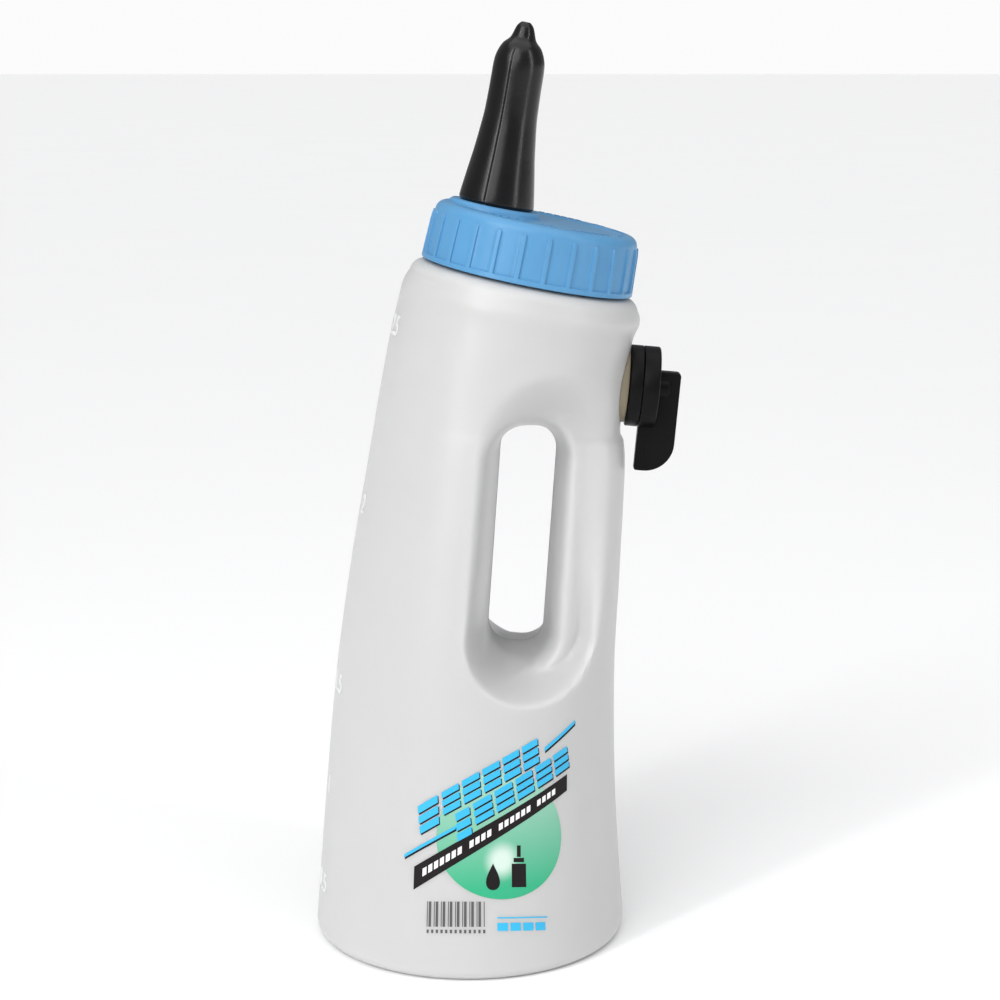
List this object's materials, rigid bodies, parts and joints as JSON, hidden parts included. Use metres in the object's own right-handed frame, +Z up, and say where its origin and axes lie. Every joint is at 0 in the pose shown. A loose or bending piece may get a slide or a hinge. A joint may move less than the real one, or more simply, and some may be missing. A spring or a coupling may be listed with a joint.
{
  "type": "calf feeding bottle",
  "caption": "Tall bent feeding bottle with a through handle, a wide ribbed screw cap carrying a long rubber teat, and a turning air valve with a lever above the grip.",
  "frame": {"origin": "bottom centre of the part's box, on the plane that the foot ring stands on", "axes": "+Z up, +X from the middle of the foot towards the handle and the valve, Y through the finger hole; the part is symmetric about the XZ plane apart from its threads and the valve's ports"},
  "size_m": [0.1539, 0.132, 0.383],
  "materials": {
    "milky_plastic": "translucent satin polyethylene",
    "cap_plastic": "satin moulded polypropylene, sky blue",
    "teat_rubber": "satin black rubber",
    "black_plastic": "black moulded plastic",
    "cream_rubber": "natural cream rubber",
    "clear_rubber": "translucent soft rubber",
    "spring_steel": "bright stainless steel"
  },
  "bodies": {
    "bottle": {"bottle": "milky_plastic", "valve_grommet": "cream_rubber", "valve_body": "black_plastic", "selector_seal": "teat_rubber", "check_cage": "black_plastic"},
    "cap_liner": {"cap_seal": "cream_rubber"},
    "cap": {"screw_cap": "cap_plastic", "teat": "teat_rubber"},
    "speed_selector": {"selector": "black_plastic", "spindle_spring": "spring_steel", "spindle_clip": "spring_steel"},
    "check_valve": {"check_disc": "clear_rubber"}
  },
  "joints": [
    {"name": "cap_rise", "type": "slide", "parent": "bottle", "child": "cap_liner", "axis": [0.1942, 0, 0.981], "range_m": [0, 0.0205]},
    {"name": "cap_turn", "type": "hinge", "parent": "cap_liner", "child": "cap", "pos_m": [0.0131, 0, 0.281], "axis": [0.1942, 0, 0.981], "range_deg": [0, 1440]},
    {"name": "selector_turn", "type": "hinge", "parent": "bottle", "child": "speed_selector", "pos_m": [0.055, 0, 0.2356], "axis": [0.9962, 0, -0.0872], "range_deg": [-60, 60]},
    {"name": "check_lift", "type": "slide", "parent": "bottle", "child": "check_valve", "axis": [-0.9962, 0, 0.0872], "range_m": [0, 0.0012]}
  ],
  "couplings": [
    {"joint": "cap_rise", "follows": "cap_turn", "m_per_rad": 0.00079577}
  ]
}
